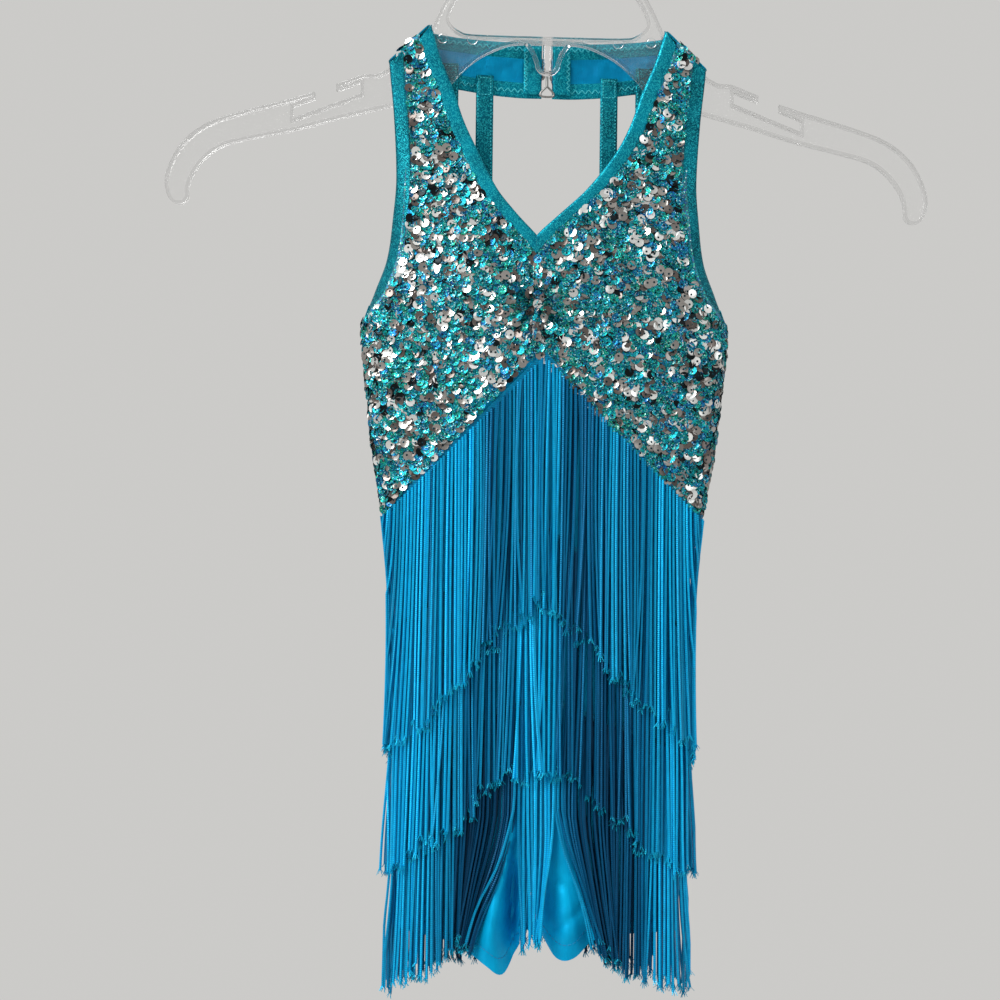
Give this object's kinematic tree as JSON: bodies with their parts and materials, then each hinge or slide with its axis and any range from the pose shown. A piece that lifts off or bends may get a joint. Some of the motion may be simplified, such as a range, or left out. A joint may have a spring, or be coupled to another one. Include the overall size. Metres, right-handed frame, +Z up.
{
  "type": "fringe dance costume on a clothes hanger",
  "caption": "Child's halter-neck dance unitard with a sequin bodice and tiers of fringe over shorts, hung on a clear plastic hanger.",
  "frame": {"origin": "seat of the hanger's hook, at the inner top of its arc, where a rail or wall hook carries it", "axes": "+Z up along the costume's length, +X to the right as seen from the front, -Y towards the viewer of the front"},
  "size_m": [0.432, 0.0449, 0.6802],
  "materials": {
    "sequin_cloth": "pale teal stretch mesh covered with 5 mm silver and turquoise hologram sequins",
    "foil_binding": "teal stretch binding with a fine foil sparkle",
    "lycra": "smooth cyan blue shiny lycra",
    "fringe_yarn": "cyan blue rayon chainette yarn, soft lustre",
    "clear_plastic": "clear moulded polystyrene, polished",
    "closure_wire": "fine nickelled wire"
  },
  "bodies": {
    "root": {"front_bodice_left": "sequin_cloth", "neck_binding_left": "foil_binding", "armhole_binding_left": "foil_binding", "front_bodice_right": "sequin_cloth", "neck_binding_right": "foil_binding", "armhole_binding_right": "foil_binding", "back_bodice": "sequin_cloth", "back_binding": "foil_binding", "collar_left": "lycra", "closure_tab_left": "foil_binding", "strap_outer_left": "foil_binding", "strap_inner_left": "foil_binding", "collar_right": "lycra", "closure_tab_right": "foil_binding", "strap_outer_right": "foil_binding", "strap_inner_right": "foil_binding", "shorts_front_left": "lycra", "shorts_front_right": "lycra", "shorts_back_left": "lycra", "shorts_back_right": "lycra", "fringe_top_front": "fringe_yarn", "fringe_top_back": "fringe_yarn", "fringe_middle_front": "fringe_yarn", "fringe_middle_back": "fringe_yarn", "fringe_bottom_front": "fringe_yarn", "fringe_bottom_back": "fringe_yarn", "hanger": "clear_plastic", "closure_hook": "closure_wire"}
  },
  "joints": []
}
